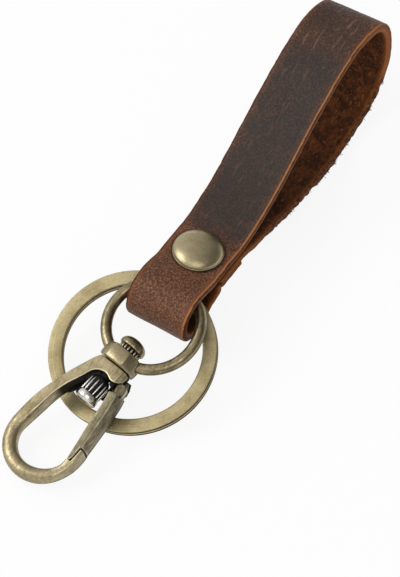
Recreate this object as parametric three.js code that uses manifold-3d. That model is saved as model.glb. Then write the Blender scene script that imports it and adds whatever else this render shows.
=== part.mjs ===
// Leather strap keychain: riveted hand loop, flat split ring and swivel lobster clasp.
// Millimetres, +Z up, X across the strap, Y along it towards the hand loop.
import * as THREE from 'three';
import { mergeVertices } from 'three/addons/utils/BufferGeometryUtils.js';
import Module from 'manifold-3d';

const wasm = await Module();
wasm.setup();

// Strap: width, leather thickness, pared ends and the air between stacked layers.
const strapWidth = 14;
const leatherThick = 2;
const skiveThick = 0.8;
const layerGap = 0.42;
// Rivet place on the strap, slope of the front there, sizes of the caps and the tube.
const rivetY = 17.8;
const rivetZ = 13.9;
const rivetSlope = 8 * Math.PI / 180;
const capDiameter = 10.8;
const capHeight = 2.4;
const backCapDiameter = 6.6;
const backCapHeight = 1.6;
const tubeDiameter = 3;
const rivetPinDiameter = 1.6;
// Split ring: outside diameter, radial width, coil thickness, air between coils, sideways place.
const ringDiameter = 35;
const ringWidth = 3;
const coilThick = 1;
const coilGap = 0.45;
const ringX = -1.45;
const ringSeatY = 9.95;
const ringSwing = 15 * Math.PI / 180;
// Swivel eye: radius to the wire's middle, wire, collar, turn in plan.
const eyeRadius = 9.8;
const wireDiameter = 2.4;
const eyeTopX = 2.2;
const eyeTopY = 8.9;
const eyeYaw = 11 * Math.PI / 180;
const collarHeight = 3.5;
const collarWidth = 8.3;
const collarDepth = 7.4;
// Swivel post and knob.
const shankDiameter = 2.6;
const barrelDiameter = 4.6;
const headDiameter = 4.9;
const headHeight = 1.6;
const knobDiameter = 5.9;
const neckDiameter = 5.3;
const knobHeight = 4.3;
const knurlRibs = 16;
// Hook: body length, outside half width, arm width, thickness, cavity arch, gate and pivot.
const hookLength = 29.9;
const hookHalf = 8.8;
const armWidth = 3.2;
const hookThick = 4.2;
const gateThick = 4;
const tongueThick = 1.8;
const edgeRound = 0.5;
const archCrown = 2.5;
const archRadius = 2.9;
const pivotDrop = 2.9;
const tongueRadius = 1.7;
const cheekRadius = 1.85;
const gatePinDiameter = 1.3;
const springThick = 0.4;
const slotWall = 0.4;
// Clearances.
const runGap = 0.3;
const fitGap = 0.25;
const swivelGap = 0.35;
const seatGap = 0.2;

const V2 = (x, y) => new THREE.Vector2(x, y);

// Triangles of a geometry with shared corners, faces turned outwards.
function tidyMesh(geometry) {
  const bare = new THREE.BufferGeometry();
  bare.setAttribute('position', geometry.getAttribute('position').clone());
  if (geometry.index) {
    bare.setIndex(geometry.index.clone());
  }
  const joined = mergeVertices(bare, 1e-4);
  const place = joined.getAttribute('position');
  const index = joined.index.array;
  const kept = [];
  let volume = 0;
  const a = new THREE.Vector3();
  const b = new THREE.Vector3();
  const c = new THREE.Vector3();
  for (let i = 0; i < index.length; i += 3) {
    const [i0, i1, i2] = [index[i], index[i + 1], index[i + 2]];
    if (i0 === i1 || i1 === i2 || i2 === i0) {
      continue;
    }
    kept.push(i0, i1, i2);
    a.fromBufferAttribute(place, i0);
    b.fromBufferAttribute(place, i1);
    c.fromBufferAttribute(place, i2);
    volume += a.dot(b.cross(c));
  }
  if (volume < 0) {
    for (let i = 0; i < kept.length; i += 3) {
      [kept[i + 1], kept[i + 2]] = [kept[i + 2], kept[i + 1]];
    }
  }
  joined.setIndex(kept);
  return joined;
}

// A three.js geometry as a solid ready for cutting and joining.
function solid(geometry) {
  const mesh = tidyMesh(geometry);
  return new wasm.Manifold(new wasm.Mesh({
    numProp: 3,
    vertProperties: new Float32Array(mesh.getAttribute('position').array),
    triVerts: new Uint32Array(mesh.index.array),
  }));
}

function geometryOf(body) {
  const mesh = body.getMesh();
  const out = new THREE.BufferGeometry();
  out.setAttribute('position', new THREE.BufferAttribute(new Float32Array(mesh.vertProperties), 3));
  out.setIndex(new THREE.BufferAttribute(new Uint32Array(mesh.triVerts), 1));
  return out;
}

// Solid of revolution about local Y from [radius, height] pairs.
function lathe(profile, steps = 48) {
  return new THREE.LatheGeometry(profile.map(([r, h]) => V2(r, h)), steps);
}

function cylinder(radius, y0, y1, steps = 32) {
  return lathe([[0, y0], [radius, y0], [radius, y1], [0, y1]], steps);
}

// Plate of a flat outline, middle plane at local z = 0, edges rounded by the given amount.
function plate(outline, thick, round) {
  const shape = new THREE.Shape(outline.map(([x, y]) => V2(x, y)));
  const geometry = new THREE.ExtrudeGeometry(shape, {
    depth: thick - 2 * round,
    bevelEnabled: round > 0,
    bevelThickness: round,
    bevelSize: round,
    bevelOffset: -round,
    bevelSegments: 3,
    curveSegments: 1,
  });
  geometry.translate(0, 0, round - thick / 2);
  return geometry;
}

// Prism of a flat outline standing along local Y from y0 to y1.
function column(outline, y0, y1, round) {
  const geometry = plate(outline, y1 - y0, round);
  geometry.rotateX(-Math.PI / 2);
  geometry.translate(0, (y0 + y1) / 2, 0);
  return geometry;
}

// Smooth line through flat points, sampled evenly between them.
function smooth(points, per) {
  const curve = new THREE.SplineCurve(points.map(([x, y]) => V2(x, y)));
  return curve.getPoints((points.length - 1) * per).map((p) => [p.x, p.y]);
}

function arc(cx, cy, radius, from, to, steps) {
  const out = [];
  for (let i = 0; i <= steps; i += 1) {
    const t = from + (to - from) * i / steps;
    out.push([cx + radius * Math.cos(t), cy + radius * Math.sin(t)]);
  }
  return out;
}

// Round outline with straight flutes: a knurl of the given number of ribs.
function knurl(radius, depth, ribs) {
  const out = [];
  for (let i = 0; i < ribs * 4; i += 1) {
    const t = 2 * Math.PI * (i + 0.5) / (ribs * 4);
    const r = i % 4 < 2 ? radius : radius - depth;
    out.push([r * Math.cos(t), r * Math.sin(t)]);
  }
  return out;
}

// Point beside the rivet: s along the front towards the hand loop, n out of its face.
const sinR = Math.sin(rivetSlope);
const cosR = Math.cos(rivetSlope);
const besideRivet = (s, n) => [rivetY + s * cosR + n * sinR, rivetZ - s * sinR + n * cosR];

// Heights inside the lower loop, from the front leather down: eye wire, then split ring.
const frontMidZ = 16.1;
const wireRadius = wireDiameter / 2;
const wireZ = frontMidZ - leatherThick / 2 - 0.6 - wireRadius;
const ringThick = 2 * coilThick + coilGap;
const ringOuter = ringDiameter / 2;
const ringMid = ringOuter - ringWidth / 2;
const ringInner = ringOuter - ringWidth;
const ringSweep = Math.hypot(ringWidth, ringThick) / 2;
const ringSeatZ = wireZ - wireRadius - runGap - ringSweep;
const ringTilt = Math.asin((ringSeatZ - ringThick / 2 * 0.966) / (ringOuter + ringMid));
const ringReach = strapWidth / 2 + Math.abs(ringX);
const ringSag = ringMid - Math.sqrt(ringInner ** 2 - ringReach ** 2);
const lowTilt = ringTilt + ringSwing;
const ringLow = ringSag * Math.sin(lowTilt) + ringThick / 2 * Math.cos(lowTilt);
const loopFloorZ = ringSeatZ - ringLow - runGap;

// Strap middle line: pared tail under the stack, lower loop, front, hand loop, back, and its
// pared end between the front and the tail.
const innerN = -(leatherThick / 2 + layerGap + skiveThick / 2);
const outerN = innerN - skiveThick - layerGap;
const flareThick = skiveThick + 0.3 * (leatherThick - skiveThick);
const floorThick = skiveThick + 0.65 * (leatherThick - skiveThick);
const flareReach = ringSweep + runGap + flareThick / 2;
const aroundSeat = (reach, degrees) => [
  ringSeatY + reach * Math.cos(degrees * Math.PI / 180),
  ringSeatZ + reach * Math.sin(degrees * Math.PI / 180),
];
const floorMidZ = loopFloorZ - floorThick / 2;
const foldX = leatherThick / 2;
const strapLine = [
  [...besideRivet(4.8, outerN), skiveThick],
  [...besideRivet(2.4, outerN), skiveThick],
  [...besideRivet(0, outerN), skiveThick],
  [...besideRivet(-2.4, outerN), skiveThick],
  [...besideRivet(-3.75, outerN - 0.1), skiveThick],
  [...aroundSeat(flareReach + 0.35, 3), flareThick],
  [...aroundSeat(flareReach + 0.2, -32), flareThick],
  [...aroundSeat(flareReach + 0.55, -64), flareThick],
  [ringSeatY - 1.6, floorMidZ + 0.12, floorThick],
  [ringSeatY - 4.1, floorMidZ, floorThick],
  [3.4, floorMidZ + 0.95, leatherThick],
  [foldX + 0.55, floorMidZ + 3.2, leatherThick],
  [foldX, frontMidZ - 4.8, leatherThick],
  [foldX + 0.45, frontMidZ - 2.2, leatherThick],
  [foldX + 1.9, frontMidZ - 0.4, leatherThick],
  [5.2, frontMidZ + 0.4, leatherThick],
  [7.6, frontMidZ + 0.2, leatherThick],
  [10, frontMidZ - 0.6, leatherThick],
  [...besideRivet(-5.6, 0), leatherThick],
  [...besideRivet(-2.8, 0), leatherThick],
  [...besideRivet(0, 0), leatherThick],
  [...besideRivet(2.8, 0), leatherThick],
  [...besideRivet(5.6, 0.02), leatherThick],
  [28.5, 13.55, leatherThick],
  [37, 14.7, leatherThick],
  [46.5, 18.3, leatherThick],
  [55.5, 22.2, leatherThick],
  [64.5, 25.8, leatherThick],
  [72.4, 27.1, leatherThick],
  [79.2, 25.1, leatherThick],
  [82.7, 19.9, leatherThick],
  [82.8, 13.4, leatherThick],
  [80.6, 8.2, leatherThick],
  [77.4, 4.4, leatherThick],
  [73.2, 1.8, leatherThick],
  [68.4, 1, leatherThick],
  [62.6, 1.05, leatherThick],
  [55.6, 2.25, leatherThick],
  [46.4, 4.5, leatherThick],
  [38, 6.9, leatherThick],
  [30, 8.95, 0.5 * (leatherThick + skiveThick)],
  [...besideRivet(6, innerN), skiveThick],
  [...besideRivet(2.4, innerN), skiveThick],
  [...besideRivet(0, innerN), skiveThick],
  [...besideRivet(-3, innerN), skiveThick],
];
const lineCurve = new THREE.CatmullRomCurve3(
  strapLine.map(([y, z, t]) => new THREE.Vector3(y, z, t)), false, 'centripetal');
const linePoints = lineCurve.getPoints((strapLine.length - 1) * 6);
const leftSide = [];
const rightSide = [];
linePoints.forEach((p, i) => {
  const before = linePoints[Math.max(i - 1, 0)];
  const after = linePoints[Math.min(i + 1, linePoints.length - 1)];
  const along = V2(after.x - before.x, after.y - before.y).normalize();
  leftSide.push([p.x - along.y * p.z / 2, p.y + along.x * p.z / 2]);
  rightSide.push([p.x + along.y * p.z / 2, p.y - along.x * p.z / 2]);
});
const strapPlate = plate([...leftSide, ...rightSide.reverse()], strapWidth, 0);
const acrossX = new THREE.Matrix4().makeBasis(
  new THREE.Vector3(0, 1, 0), new THREE.Vector3(0, 0, 1), new THREE.Vector3(1, 0, 0));
strapPlate.applyMatrix4(acrossX);

// Rivet parts stand along the strap's own normal at the rivet.
const rivetFrame = new THREE.Matrix4().makeBasis(
  new THREE.Vector3(1, 0, 0), new THREE.Vector3(0, sinR, cosR), new THREE.Vector3(0, -cosR, sinR));
rivetFrame.setPosition(0, rivetY, rivetZ);
const tubeRadius = tubeDiameter / 2;
const rivetPinRadius = rivetPinDiameter / 2;
const frontN = leatherThick / 2 + seatGap;
const backFaceN = outerN - skiveThick / 2 - seatGap;
const sheet = 0.35;
const capR = capDiameter / 2;
const backR = backCapDiameter / 2;
const strapHole = cylinder(tubeRadius + runGap, outerN - 4, leatherThick * 2);
strapHole.applyMatrix4(rivetFrame);
const strapBody = solid(strapPlate).subtract(solid(strapHole));

// Dome of a rivet cap: rolled lip on the leather, flat recess for the flange beneath it.
function rivetDome(radius, height, recess) {
  const rim = height * 0.3;
  const bow = height - rim;
  const dome = [];
  for (let i = 0; i <= 10; i += 1) {
    const t = i / 10 * Math.PI / 2;
    dome.push([radius * Math.cos(t) ** 0.9, rim + bow * Math.sin(t) ** 1.15]);
  }
  dome[10] = [0, height];
  return lathe([
    [0, sheet + runGap], [recess, sheet + runGap], [recess, 0], [radius - 0.2, 0],
    [radius - 0.05, rim * 0.3], ...dome,
  ], 56);
}
const capShape = rivetDome(capR, capHeight, capR - 0.75);
capShape.translate(0, frontN, 0);
const backCapShape = rivetDome(backR, backCapHeight, backR - 0.6);
backCapShape.rotateX(Math.PI);
backCapShape.translate(0, backFaceN, 0);
const socketFlange = capR - 0.75 - runGap;
const tubeEnd = backFaceN + 0.5;
const socketShape = lathe([
  [rivetPinRadius + runGap, tubeEnd], [tubeRadius, tubeEnd], [tubeRadius, frontN],
  [socketFlange, frontN], [socketFlange, frontN + sheet], [0, frontN + sheet],
  [0, frontN - 0.25], [rivetPinRadius + runGap, frontN - 0.25],
  [rivetPinRadius + runGap, tubeEnd],
], 40);
const postFlange = backR - 0.6 - runGap;
const rivetPostShape = lathe([
  [0, backFaceN - sheet], [postFlange, backFaceN - sheet], [postFlange, backFaceN],
  [rivetPinRadius, backFaceN], [rivetPinRadius, frontN - 0.25 - runGap],
  [0, frontN - 0.25 - runGap],
], 40);
const rivetShapes = [capShape, socketShape, rivetPostShape, backCapShape];
rivetShapes.forEach((shape) => shape.applyMatrix4(rivetFrame));

// Split ring: one unbroken flat band, nearly two turns, stepping between levels once.
const stepCentre = 255;
const stepHalf = 19;
const endGap = 5;
const ringFrom = stepCentre - 360 + stepHalf + endGap;
const ringTo = stepCentre + 360 - stepHalf;
const ringLine = [];
const degree = Math.PI / 180;
const levelRise = coilThick + coilGap;
for (let d = ringFrom; d <= ringTo + 1e-6; d += (ringTo - ringFrom) / 250) {
  const u = Math.min(Math.max((d - stepCentre + stepHalf) / (2 * stepHalf), 0), 1);
  const level = levelRise * (u * u * (3 - 2 * u) - 0.5);
  ringLine.push([d * degree, level]);
}
const chamfer = 0.18;
const halfW = ringWidth / 2;
const halfC = coilThick / 2;
const bandSection = [
  [-halfW + chamfer, -halfC], [halfW - chamfer, -halfC], [halfW, -halfC + chamfer],
  [halfW, halfC - chamfer], [halfW - chamfer, halfC], [-halfW + chamfer, halfC],
  [-halfW, halfC - chamfer], [-halfW, -halfC + chamfer],
];
const sides = bandSection.length;
const bandPlaces = [];
const bandFaces = [];
ringLine.forEach(([angle, level]) => bandSection.forEach(([r, h]) => bandPlaces.push(
  (ringMid + r) * Math.cos(angle), (ringMid + r) * Math.sin(angle), level + h)));
for (let i = 0; i + 1 < ringLine.length; i += 1) {
  for (let k = 0; k < sides; k += 1) {
    const a = i * sides + k;
    const b = i * sides + (k + 1) % sides;
    bandFaces.push(a, b, b + sides, a, b + sides, a + sides);
  }
}
const lastRow = (ringLine.length - 1) * sides;
for (let k = 1; k + 1 < sides; k += 1) {
  bandFaces.push(0, k + 1, k, lastRow, lastRow + k, lastRow + k + 1);
}
const ringShape = new THREE.BufferGeometry();
ringShape.setAttribute('position', new THREE.Float32BufferAttribute(bandPlaces, 3));
ringShape.setIndex(bandFaces);
ringShape.applyMatrix4(new THREE.Matrix4().makeRotationX(ringTilt));
ringShape.translate(
  ringX, ringSeatY - ringMid * Math.cos(ringTilt), ringSeatZ - ringMid * Math.sin(ringTilt));
let coilLeast = Infinity;
ringLine.forEach(([a0, l0]) => ringLine.forEach(([a1, l1]) => {
  const turn = Math.abs(a0 - a1);
  if (turn > Math.PI && Math.abs(turn - 2 * Math.PI) < 0.02) {
    coilLeast = Math.min(coilLeast, Math.abs(l0 - l1) - coilThick);
  }
}));
console.log('key_ring least gap between coils', coilLeast.toFixed(3));

// Clasp frame: Y from the hook's tip to the eye, Z out of the hook's front face.
const collarTop = eyeRadius - collarHeight / 2;
const collarFoot = eyeRadius + collarHeight / 2;
const hookTop = collarFoot + swivelGap;
const tipRest = hookTop + hookLength - edgeRound;
const eyeTilt = Math.asin((wireZ - hookThick / 2 * 0.975) / (eyeRadius + tipRest));
const hookX = new THREE.Vector3(Math.cos(eyeYaw), -Math.sin(eyeYaw), 0);
const hookY = new THREE.Vector3(
  Math.sin(eyeYaw) * Math.cos(eyeTilt), Math.cos(eyeYaw) * Math.cos(eyeTilt), Math.sin(eyeTilt));
const hookZ = new THREE.Vector3().crossVectors(hookX, hookY);
const claspFrame = new THREE.Matrix4().makeBasis(hookX, hookY, hookZ);
const eyeTop = new THREE.Vector3(eyeTopX, eyeTopY, wireZ);
claspFrame.setPosition(eyeTop.clone().addScaledVector(hookY, -eyeRadius));

// Eye: round wire ring with a faceted collar, bored for the swivel post.
const shankRadius = shankDiameter / 2;
const cw = collarWidth / 2;
const cd = collarDepth / 2;
const facet = 2.1;
const collarOutline = [
  [cw, cd - facet], [cw - facet, cd], [facet - cw, cd], [-cw, cd - facet],
  [-cw, facet - cd], [facet - cw, -cd], [cw - facet, -cd], [cw, facet - cd],
];
const collarShape = column(collarOutline, -collarFoot, -collarTop, 0.35);
const eyeRing = new THREE.TorusGeometry(eyeRadius, wireRadius, 20, 80);
const shankBore = cylinder(shankRadius + runGap, -hookTop - archCrown - 1, -collarTop + 1);
const eyeBody = solid(eyeRing).add(solid(collarShape)).subtract(solid(shankBore));

// Knob: fluted neck under a round head, blind hole for the post.
const knobFoot = -collarTop + swivelGap;
const knobTop = knobFoot + knobHeight;
const knobR = knobDiameter / 2;
const domeFoot = knobFoot + knobHeight * 0.42;
const neckShape = column(knurl(neckDiameter / 2, 0.3, knurlRibs), knobFoot, domeFoot + 0.3, 0);
const domePoints = [];
for (let i = 0; i <= 9; i += 1) {
  const t = i / 9 * Math.PI / 2;
  domePoints.push([knobR * Math.cos(t), domeFoot + 0.7 + (knobTop - domeFoot - 0.7) * Math.sin(t)]);
}
domePoints[9] = [0, knobTop];
const domeShape = lathe([[0, domeFoot], [knobR - 0.25, domeFoot], ...domePoints], 40);
const postTop = knobTop - 1.6;
const knobHole = cylinder(shankRadius + fitGap, knobFoot - 1, postTop + fitGap);
const knobBody = solid(neckShape).add(solid(domeShape)).subtract(solid(knobHole));

// Post: plain shank, fluted barrel and flat head inside the hook's arch.
const headTop = -hookTop - 7.5;
const headFoot = headTop - headHeight;
const archDrop = archCrown + archRadius;
const barrelR = barrelDiameter / 2;
const seatR = archRadius - swivelGap;
const seatY = (r) => -hookTop - archDrop + Math.sqrt(seatR ** 2 - r ** 2);
const barrelTop = seatY(barrelR);
const shankShape = cylinder(shankRadius, barrelTop - 0.5, postTop);
const barrelShape = column(knurl(barrelR, 0.3, knurlRibs), headTop - 0.3, barrelTop, 0);
const shoulder = [[0, barrelTop - 0.4], [barrelR - 0.3, barrelTop - 0.4]];
for (let i = 0; i <= 6; i += 1) {
  const r = barrelR - 0.05 - (barrelR - 0.05 - shankRadius + 0.2) * i / 6;
  shoulder.push([r, seatY(r)]);
}
const shoulderShape = lathe([...shoulder, [0, seatY(shankRadius)]], 40);
const headShape = lathe([
  [0, headFoot], [headDiameter / 2 - 0.4, headFoot], [headDiameter / 2, headFoot + 0.4],
  [headDiameter / 2, headTop - 0.2], [headDiameter / 2 - 0.2, headTop], [0, headTop],
], 40);
const postBody = solid(shankShape).add(solid(barrelShape)).add(solid(shoulderShape))
  .add(solid(headShape));

// Hook outline, drawn as [x, drop below the hook's top edge].
const slotLeft = shankRadius + runGap + slotWall;
const pivotX = slotLeft + 2 * fitGap + springThick + tongueRadius;
const bendDrop = hookLength - hookHalf;
const armScale = bendDrop / 21.1;
const bendInner = hookHalf - armWidth;
const wide = (x) => x * hookHalf / 8.8;
const arm = (x, d) => [wide(x), d * armScale];
const outerLeft = smooth([
  arm(-4.1, 0), arm(-5, 1.25), arm(-6.3, 4.3), arm(-7.4, 7), arm(-8.2, 10.2), arm(-8.65, 13.4),
  arm(-8.8, 17.2), arm(-8.8, 21.1),
], 5);
const outerBend = arc(0, bendDrop, hookHalf, Math.PI, 0, 40).slice(1);
const nosePeak = bendDrop - 3.5;
const noseInner = hookHalf - 1.3;
const notchFloor = bendDrop + 0.1;
const nose = [
  [hookHalf - 0.02, bendDrop - 1.4], [hookHalf - 0.2, nosePeak], [bendInner - 0.03, nosePeak],
];
const innerBend = arc(0, bendDrop, bendInner, 0, Math.PI, 36);
const innerLeft = smooth([
  [-bendInner, bendDrop], arm(-5.6, 16), arm(-5.45, 11.6), arm(-4.9, 9), arm(-3.9, 7.2),
], 5).slice(1);
const archEnd = Math.acos((pivotX - cheekRadius - runGap - 0.08) / archRadius);
const archLine = arc(0, archDrop, archRadius, Math.PI - 0.15, 2 * Math.PI - archEnd, 22);
const cheek = arc(pivotX, pivotDrop, cheekRadius, 2.75, -0.1, 18);
const rightTop = [
  [pivotX + 1.7, pivotDrop - 0.8], [pivotX + 1.3, pivotDrop - 1.4], [pivotX + 0.4, 0.55], arm(4.1, 0),
];
const flip = (outline) => outline.map(([x, d]) => [x, -hookTop - d]);
const hookOutline = flip([
  ...outerLeft, ...outerBend, ...nose, ...innerBend, ...innerLeft, ...archLine, ...cheek,
  ...rightTop,
]);
const pinRadius = gatePinDiameter / 2;
const pivotAxis = (radius, z0, z1) => {
  const shape = cylinder(radius, z0, z1);
  shape.rotateX(Math.PI / 2);
  shape.translate(pivotX, -hookTop - pivotDrop, 0);
  return shape;
};
const slotTop = pivotDrop - tongueRadius - runGap;
const slotOutline = flip([[slotLeft, slotTop], [slotLeft, 6.4], [12, 6.4], [12, slotTop]]);
const notchOutline = flip([
  [bendInner - 1.5, nosePeak - 1], [bendInner - 1.5, notchFloor], [noseInner, notchFloor],
  [noseInner, nosePeak - 1],
]);
const hookBody = solid(plate(hookOutline, hookThick, edgeRound))
  .subtract(solid(plate(notchOutline, hookThick * 2, 0)))
  .subtract(solid(plate(slotOutline, tongueThick + 2 * runGap, 0)))
  .subtract(solid(shankBore))
  .subtract(solid(pivotAxis(pinRadius + fitGap, -hookThick, hookThick)));

// Gate: flat arm with a middle tongue on the pin, its tip tucked inside the nose.
const gateInner = noseInner - runGap;
const gateStep = nosePeak - 0.45;
const gateTip = notchFloor - runGap;
const gateOutline = flip([
  ...arc(pivotX, pivotDrop, tongueRadius, 2.75, 2 * Math.PI - 0.5, 16),
  [pivotX + 2.15, pivotDrop + 1.2], [wide(7.55), pivotDrop + 2.7], [wide(7.95), pivotDrop + 4.5],
  arm(8.3, 11), arm(8.5, 14), [hookHalf - 0.3, gateStep],
  [hookHalf - 0.35, gateTip], [bendInner + 0.55, gateTip],
  arm(5.6, 17.4), arm(4.95, 13.2), [pivotX - 0.1, 9.6], [pivotX - 0.4, 7.6], [pivotX - 1, 5.6],
]);
const stepOutline = flip([
  [gateInner, gateStep], [gateInner, gateTip + 1], [hookHalf + 1, gateTip + 1],
  [hookHalf + 1, gateStep],
]);
const cheekRoom = cheekRadius + runGap;
const gateBody = solid(plate(gateOutline, gateThick, edgeRound))
  .subtract(solid(plate(stepOutline, hookThick * 2, 0)))
  .subtract(solid(pivotAxis(cheekRoom, tongueThick / 2, hookThick)))
  .subtract(solid(pivotAxis(cheekRoom, -hookThick, -tongueThick / 2)))
  .subtract(solid(pivotAxis(pinRadius + fitGap, -hookThick, hookThick)));
const pinShape = pivotAxis(pinRadius, -hookThick / 2, hookThick / 2);
const springLeft = slotLeft + fitGap;
const springOutline = flip([
  [springLeft, slotTop + fitGap], [springLeft, pivotDrop + 0.7],
  [springLeft + springThick, pivotDrop + 0.7], [springLeft + springThick, slotTop + fitGap],
]);
const springShape = plate(springOutline, tongueThick - 0.2, 0);

// Named pieces with plain stand-in colours.
const group = new THREE.Group();
group.name = 'leather_keychain';
const bronze = 0x8f7d57;
const steel = 0x9a9a98;
function piece(name, geometry, colour, metal, frame) {
  const shape = tidyMesh(geometry);
  if (frame) {
    shape.applyMatrix4(frame);
  }
  const material = new THREE.MeshStandardMaterial({
    color: colour, metalness: metal, roughness: metal ? 0.35 : 0.8,
  });
  material.name = name;
  const mesh = new THREE.Mesh(shape, material);
  mesh.name = name;
  group.add(mesh);
}
piece('leather_strap', geometryOf(strapBody), 0x4a2f1e, 0);
piece('rivet_cap', capShape, bronze, 1);
piece('rivet_socket', socketShape, bronze, 1);
piece('rivet_post', rivetPostShape, bronze, 1);
piece('rivet_back_cap', backCapShape, bronze, 1);
piece('key_ring', ringShape, bronze, 1);
piece('swivel_eye', geometryOf(eyeBody), bronze, 1, claspFrame);
piece('swivel_knob', geometryOf(knobBody), bronze, 1, claspFrame);
piece('swivel_post', geometryOf(postBody), steel, 1, claspFrame);
piece('hook_body', geometryOf(hookBody), bronze, 1, claspFrame);
piece('hook_gate', geometryOf(gateBody), bronze, 1, claspFrame);
piece('gate_pin', pinShape, steel, 1, claspFrame);
piece('gate_spring', springShape, steel, 1, claspFrame);

// Origin at the middle of the footprint, on the floor.
const box = new THREE.Box3();
group.children.forEach((mesh) => {
  mesh.geometry.computeBoundingBox();
  box.union(mesh.geometry.boundingBox);
});
const shift = new THREE.Vector3(
  -(box.min.x + box.max.x) / 2, -(box.min.y + box.max.y) / 2, -box.min.z);
group.children.forEach((mesh) => mesh.geometry.translate(shift.x, shift.y, shift.z));

export default group;
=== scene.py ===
import random
from math import copysign, cos, hypot, pi, radians, sin, sqrt

import bmesh
import bpy
from mathutils import Matrix, Vector, noise
from mathutils.bvhtree import BVHTree


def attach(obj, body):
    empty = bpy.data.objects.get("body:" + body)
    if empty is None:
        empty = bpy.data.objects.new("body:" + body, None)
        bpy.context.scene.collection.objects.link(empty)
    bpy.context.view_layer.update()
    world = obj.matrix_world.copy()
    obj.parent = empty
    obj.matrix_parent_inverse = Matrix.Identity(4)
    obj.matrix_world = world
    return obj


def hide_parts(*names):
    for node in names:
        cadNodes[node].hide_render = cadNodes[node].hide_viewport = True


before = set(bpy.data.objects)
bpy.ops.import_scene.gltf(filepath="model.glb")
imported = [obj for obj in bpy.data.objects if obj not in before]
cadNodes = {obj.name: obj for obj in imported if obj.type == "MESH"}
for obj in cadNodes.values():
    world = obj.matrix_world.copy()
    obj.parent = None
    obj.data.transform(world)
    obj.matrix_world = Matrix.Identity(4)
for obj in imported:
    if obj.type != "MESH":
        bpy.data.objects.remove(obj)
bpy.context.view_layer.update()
mm = 0.001
print("frame loaded:", len(cadNodes), "nodes")


# The strap is drawn in its own millimetres: X across, Y from the lower fold, Z up.
strapShift = Vector((1.45, -21.557, 0.097))
# The clasp too: the eye lies in XY round the origin and the hook hangs towards -Y.
claspPlace = Matrix((
    (0.981627, 0.186125, -0.042017, 1.826),
    (-0.190809, 0.957532, -0.216160, -22.041),
    (0.0, 0.220205, 0.975454, 11.239),
    (0.0, 0.0, 0.0, 1.0),
))


def tone(*shade):
    # 8-bit screen colour to the linear one the shaders use
    parts = [value / 255 for value in shade]
    return (*(v / 12.92 if v <= 0.04045 else ((v + 0.055) / 1.055) ** 2.4 for v in parts), 1.0)


def setAll(thing, settings):
    for key, value in settings.items():
        setattr(thing, key, value)
    return thing


def operator(operation, swapped=False):
    def run(wire, other):
        pair = (other, wire) if swapped else (wire, other)
        return wire.paint.node("ShaderNodeMath", pair, operation=operation)
    return run


class Wire:
    # one socket of a material, with arithmetic
    def __init__(self, paint, socket):
        self.paint = paint
        self.socket = socket

    __add__ = __radd__ = operator("ADD")
    __sub__, __rsub__ = operator("SUBTRACT"), operator("SUBTRACT", True)
    __mul__ = operator("MULTIPLY")
    highest = operator("MAXIMUM")


class Paint:
    # one material and the nodes in it
    def __init__(self, name, owner=None):
        self.material = owner or bpy.data.materials.new(name)
        self.material.use_nodes = True
        self.tree = self.material.node_tree
        self.tree.nodes.clear()
        self.spot = self.node("ShaderNodeTexCoord", (), "Object")

    def node(self, kind, sockets=(), output=0, **settings):
        made = setAll(self.tree.nodes.new(kind), settings)
        for key, value in sockets.items() if isinstance(sockets, dict) else enumerate(sockets):
            if isinstance(value, Wire):
                self.tree.links.new(value.socket, made.inputs[key])
            else:
                made.inputs[key].default_value = value
        return Wire(self, made.outputs[output]) if made.outputs else None

    def noise(self, scale, detail=3.0, rough=0.5, twist=0.0, spot=None):
        return self.node("ShaderNodeTexNoise", {
            "Vector": spot or self.spot, "Scale": scale, "Detail": detail,
            "Roughness": rough, "Distortion": twist})

    def stretched(self, scales, turn=(0.0, 0.0, 0.0), spot=None):
        return self.node("ShaderNodeMapping", {
            "Vector": spot or self.spot, "Scale": scales, "Rotation": turn})

    def band(self, value, low, high, to=(0.0, 1.0)):
        return self.node("ShaderNodeMapRange", {
            "Value": value, "From Min": low, "From Max": high, "To Min": to[0], "To Max": to[1]},
            interpolation_type="SMOOTHSTEP")

    def coats(self, base, *layers):
        # a base shade covered by (amount, shade) in turn
        colour = tone(*base)
        for amount, shade in layers:
            over = shade if isinstance(shade, Wire) else tone(*shade)
            colour = self.node("ShaderNodeMix", {0: amount, 6: colour, 7: over}, 2, data_type="RGBA")
        return colour

    def attribute(self, name):
        return self.node("ShaderNodeAttribute", (), "Fac", attribute_name=name)

    def finish(self, colour, rough, relief=None, more=()):
        # the surface, with relief as (height, strength, distance)
        sockets = {"Base Color": colour, "Roughness": rough, **dict(more)}
        if relief:
            bump = zip(("Height", "Strength", "Distance"), relief)
            sockets["Normal"] = self.node("ShaderNodeBump", dict(bump))
        shader = self.node("ShaderNodeBsdfPrincipled", sockets)
        self.node("ShaderNodeOutputMaterial", {"Surface": shader})
        return self.material


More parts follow.
